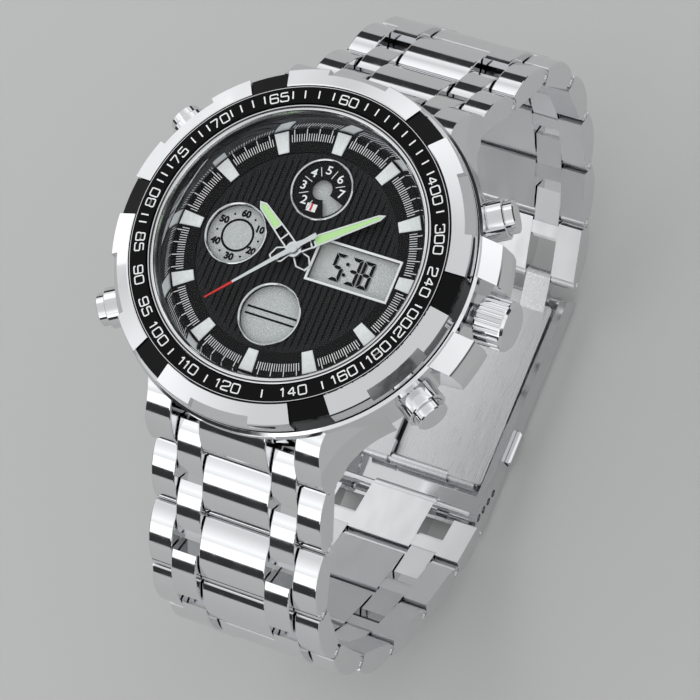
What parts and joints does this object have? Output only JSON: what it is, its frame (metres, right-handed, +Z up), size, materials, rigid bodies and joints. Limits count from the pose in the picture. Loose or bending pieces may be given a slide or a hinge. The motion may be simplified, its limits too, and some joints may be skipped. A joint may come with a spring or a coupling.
{
  "type": "wristwatch",
  "caption": "Analogue and digital wristwatch with a polished link bracelet, notched steel bezel, black dial, crown, pushers and a fold-over clasp.",
  "frame": {"origin": "middle of the closed clasp's flat outer face, under the dial's centre", "axes": "+Z up out of the dial, +Y towards 12 o'clock, +X towards 3 o'clock"},
  "size_m": [0.0523, 0.0848, 0.0709],
  "materials": {
    "polished_steel": "polished",
    "brushed_steel": "brushed",
    "black_plated": "satin",
    "black_gloss": "gloss",
    "white_paint": "satin",
    "light_green_lume": "matt",
    "hand_white": "satin",
    "lcd_glass": "gloss",
    "crystal": "polished",
    "module_plastic": "matt",
    "board_green": "satin",
    "brass": "plain",
    "gasket_rubber": "matt"
  },
  "bodies": {
    "case": {"mid_case": "polished_steel", "case_back": "polished_steel", "back_gasket": "gasket_rubber", "bezel_ring": "black_plated", "bezel_segments": "polished_steel", "bezel_insert": "black_plated", "crystal": "crystal", "crystal_ring": "polished_steel", "inner_wall_ring": "black_gloss", "dial": "black_plated", "chapter_ring": "black_plated", "hour_markers": "white_paint", "subdial_rings": "polished_steel", "window_frame": "white_paint", "day_mask": "black_plated", "day_lcd": "lcd_glass", "seconds_lcd": "lcd_glass", "date_lcd": "lcd_glass", "time_lcd": "lcd_glass", "quartz_module": "module_plastic", "module_spacer": "module_plastic", "circuit_board": "board_green", "button_cells": "brushed_steel", "cell_strap": "brushed_steel", "buzzer": "brass", "crown_tube": "brushed_steel", "pusher_collars": "polished_steel", "lug_pins": "brushed_steel"},
    "hour_hand": {"hour_hand": "hand_white", "hour_lume": "light_green_lume"},
    "minute_hand": {"minute_hand": "hand_white", "minute_lume": "light_green_lume"},
    "second_hand": {"second_hand": "hand_white"},
    "stem": {"winding_stem": "brushed_steel"},
    "crown": {"crown": "polished_steel"},
    "pusher_2": {"pusher_2": "polished_steel"},
    "pusher_4": {"pusher_4": "polished_steel"},
    "pusher_8": {"pusher_8": "polished_steel"},
    "pusher_10": {"pusher_10": "polished_steel"},
    "link_12_1": {"link_12_1": "polished_steel"},
    "link_12_2": {"link_12_2": "polished_steel"},
    "link_12_3": {"link_12_3": "polished_steel"},
    "link_12_4": {"link_12_4": "polished_steel"},
    "link_12_5": {"link_12_5": "polished_steel"},
    "link_12_6": {"link_12_6": "polished_steel"},
    "link_12_7": {"link_12_7": "polished_steel"},
    "link_6_1": {"link_6_1": "polished_steel"},
    "link_6_2": {"link_6_2": "polished_steel"},
    "link_6_3": {"link_6_3": "polished_steel"},
    "link_6_4": {"link_6_4": "polished_steel"},
    "link_6_5": {"link_6_5": "polished_steel"},
    "link_6_6": {"link_6_6": "polished_steel"},
    "link_6_7": {"link_6_7": "polished_steel"},
    "link_6_8": {"link_6_8": "polished_steel"},
    "clasp_blade_2": {"clasp_blade_2": "polished_steel"},
    "clasp_blade_1": {"clasp_blade_1": "polished_steel"},
    "clasp_cover": {"clasp_cover": "polished_steel"},
    "clasp_button_right": {"clasp_button_right": "polished_steel"},
    "clasp_button_left": {"clasp_button_left": "polished_steel"}
  },
  "joints": [
    {"name": "second_turn", "type": "hinge", "parent": "case", "child": "second_hand", "pos_m": [0, 0, 0.0678], "axis": [0, 0, -1], "continuous": true},
    {"name": "minute_turn", "type": "hinge", "parent": "case", "child": "minute_hand", "pos_m": [0, 0, 0.0678], "axis": [0, 0, -1], "continuous": true},
    {"name": "hour_turn", "type": "hinge", "parent": "case", "child": "hour_hand", "pos_m": [0, 0, 0.0678], "axis": [0, 0, -1], "continuous": true},
    {"name": "crown_pull", "type": "slide", "parent": "case", "child": "stem", "axis": [1, 0, 0], "range_m": [0, 0.0012]},
    {"name": "crown_turn", "type": "hinge", "parent": "stem", "child": "crown", "pos_m": [0.026, 0, 0.0633], "axis": [1, 0, 0], "continuous": true},
    {"name": "pusher_2_press", "type": "slide", "parent": "case", "child": "pusher_2", "axis": [-0.866, -0.5, 0], "range_m": [0, 0.0008], "stiffness_N_per_m": 1500, "springref_m": -0.0004},
    {"name": "pusher_4_press", "type": "slide", "parent": "case", "child": "pusher_4", "axis": [-0.866, 0.5, 0], "range_m": [0, 0.0008], "stiffness_N_per_m": 1500, "springref_m": -0.0004},
    {"name": "pusher_8_press", "type": "slide", "parent": "case", "child": "pusher_8", "axis": [0.866, 0.5, 0], "range_m": [0, 0.0008], "stiffness_N_per_m": 1500, "springref_m": -0.0004},
    {"name": "pusher_10_press", "type": "slide", "parent": "case", "child": "pusher_10", "axis": [0.866, -0.5, 0], "range_m": [0, 0.0008], "stiffness_N_per_m": 1500, "springref_m": -0.0004},
    {"name": "link_12_1_hinge", "type": "hinge", "parent": "case", "child": "link_12_1", "pos_m": [0, 0.0243, 0.0577], "axis": [1, 0, 0], "range_deg": [-4.44, 0]},
    {"name": "link_12_2_hinge", "type": "hinge", "parent": "link_12_1", "child": "link_12_2", "pos_m": [0, 0.03046, 0.05086], "axis": [1, 0, 0], "range_deg": [-20.17, 0]},
    {"name": "link_12_3_hinge", "type": "hinge", "parent": "link_12_2", "child": "link_12_3", "pos_m": [0, 0.03729, 0.04471], "axis": [1, 0, 0], "range_deg": [-5.07, 0]},
    {"name": "link_12_4_hinge", "type": "hinge", "parent": "link_12_3", "child": "link_12_4", "pos_m": [0, 0.04044, 0.03606], "axis": [1, 0, 0], "range_deg": [-7.07, 0]},
    {"name": "link_12_5_hinge", "type": "hinge", "parent": "link_12_4", "child": "link_12_5", "pos_m": [0, 0.03948, 0.02691], "axis": [1, 0, 0], "range_deg": [0, 9.57]},
    {"name": "link_12_6_hinge", "type": "hinge", "parent": "link_12_5", "child": "link_12_6", "pos_m": [0, 0.03559, 0.01857], "axis": [1, 0, 0], "range_deg": [0, 13.06]},
    {"name": "link_12_7_hinge", "type": "hinge", "parent": "link_12_6", "child": "link_12_7", "pos_m": [0, 0.02993, 0.01132], "axis": [1, 0, 0], "range_deg": [0, 15.06]},
    {"name": "blade_2_hinge", "type": "hinge", "parent": "link_12_7", "child": "clasp_blade_2", "pos_m": [0, 0.02258, 0.00579], "axis": [1, 0, 0], "range_deg": [0, 32.5]},
    {"name": "clasp_fold", "type": "hinge", "parent": "clasp_blade_2", "child": "clasp_blade_1", "pos_m": [0, -0.0076, 0.003], "axis": [-1, 0, 0], "range_deg": [0, 150]},
    {"name": "cover_hinge", "type": "hinge", "parent": "clasp_blade_1", "child": "clasp_cover", "pos_m": [0, 0.0203, 0.00185], "axis": [1, 0, 0], "range_deg": [0, 65.51]},
    {"name": "link_6_1_hinge", "type": "hinge", "parent": "case", "child": "link_6_1", "pos_m": [0, -0.0243, 0.0577], "axis": [1, 0, 0], "range_deg": [0, 36.15]},
    {"name": "link_6_2_hinge", "type": "hinge", "parent": "link_6_1", "child": "link_6_2", "pos_m": [0, -0.03046, 0.05086], "axis": [1, 0, 0], "range_deg": [-2.05, 0]},
    {"name": "link_6_3_hinge", "type": "hinge", "parent": "link_6_2", "child": "link_6_3", "pos_m": [0, -0.03729, 0.04471], "axis": [1, 0, 0], "range_deg": [-23.09, 0]},
    {"name": "link_6_4_hinge", "type": "hinge", "parent": "link_6_3", "child": "link_6_4", "pos_m": [0, -0.03998, 0.03591], "axis": [1, 0, 0], "range_deg": [-31.06, 0]},
    {"name": "link_6_5_hinge", "type": "hinge", "parent": "link_6_4", "child": "link_6_5", "pos_m": [0, -0.03902, 0.02676], "axis": [1, 0, 0], "range_deg": [-28.07, 0]},
    {"name": "link_6_6_hinge", "type": "hinge", "parent": "link_6_5", "child": "link_6_6", "pos_m": [0, -0.03499, 0.01849], "axis": [1, 0, 0], "range_deg": [-29.07, 0]},
    {"name": "link_6_7_hinge", "type": "hinge", "parent": "link_6_6", "child": "link_6_7", "pos_m": [0, -0.02826, 0.01222], "axis": [1, 0, 0], "range_deg": [-17.06, 0]},
    {"name": "link_6_8_hinge", "type": "hinge", "parent": "link_6_7", "child": "link_6_8", "pos_m": [0, -0.02063, 0.00707], "axis": [1, 0, 0], "range_deg": [-23.05, 0]},
    {"name": "clasp_button_right_press", "type": "slide", "parent": "clasp_cover", "child": "clasp_button_right", "axis": [-1, 0, 0], "range_m": [0, 0.0006], "stiffness_N_per_m": 1200, "springref_m": -0.0003},
    {"name": "clasp_button_left_press", "type": "slide", "parent": "clasp_cover", "child": "clasp_button_left", "axis": [1, 0, 0], "range_m": [0, 0.0006], "stiffness_N_per_m": 1200, "springref_m": -0.0003}
  ],
  "couplings": [
    {"joint": "minute_turn", "follows": "second_turn", "ratio": 0.016667},
    {"joint": "hour_turn", "follows": "second_turn", "ratio": 0.0013889},
    {"joint": "link_12_1_hinge", "follows": "clasp_fold", "ratio": -0.02929},
    {"joint": "link_12_2_hinge", "follows": "clasp_fold", "ratio": -0.13411},
    {"joint": "link_12_3_hinge", "follows": "clasp_fold", "ratio": -0.03348},
    {"joint": "link_12_4_hinge", "follows": "clasp_fold", "ratio": -0.04681},
    {"joint": "link_12_5_hinge", "follows": "clasp_fold", "ratio": 0.0635},
    {"joint": "link_12_6_hinge", "follows": "clasp_fold", "ratio": 0.08671},
    {"joint": "link_12_7_hinge", "follows": "clasp_fold", "ratio": 0.10009},
    {"joint": "blade_2_hinge", "follows": "clasp_fold", "ratio": 0.21632},
    {"joint": "cover_hinge", "follows": "clasp_fold", "ratio": 0.43638},
    {"joint": "link_6_1_hinge", "follows": "clasp_fold", "ratio": 0.24068},
    {"joint": "link_6_2_hinge", "follows": "clasp_fold", "ratio": -0.01333},
    {"joint": "link_6_3_hinge", "follows": "clasp_fold", "ratio": -0.15358},
    {"joint": "link_6_4_hinge", "follows": "clasp_fold", "ratio": -0.20673},
    {"joint": "link_6_5_hinge", "follows": "clasp_fold", "ratio": -0.18679},
    {"joint": "link_6_6_hinge", "follows": "clasp_fold", "ratio": -0.19346},
    {"joint": "link_6_7_hinge", "follows": "clasp_fold", "ratio": -0.11343},
    {"joint": "link_6_8_hinge", "follows": "clasp_fold", "ratio": -0.15337}
  ]
}
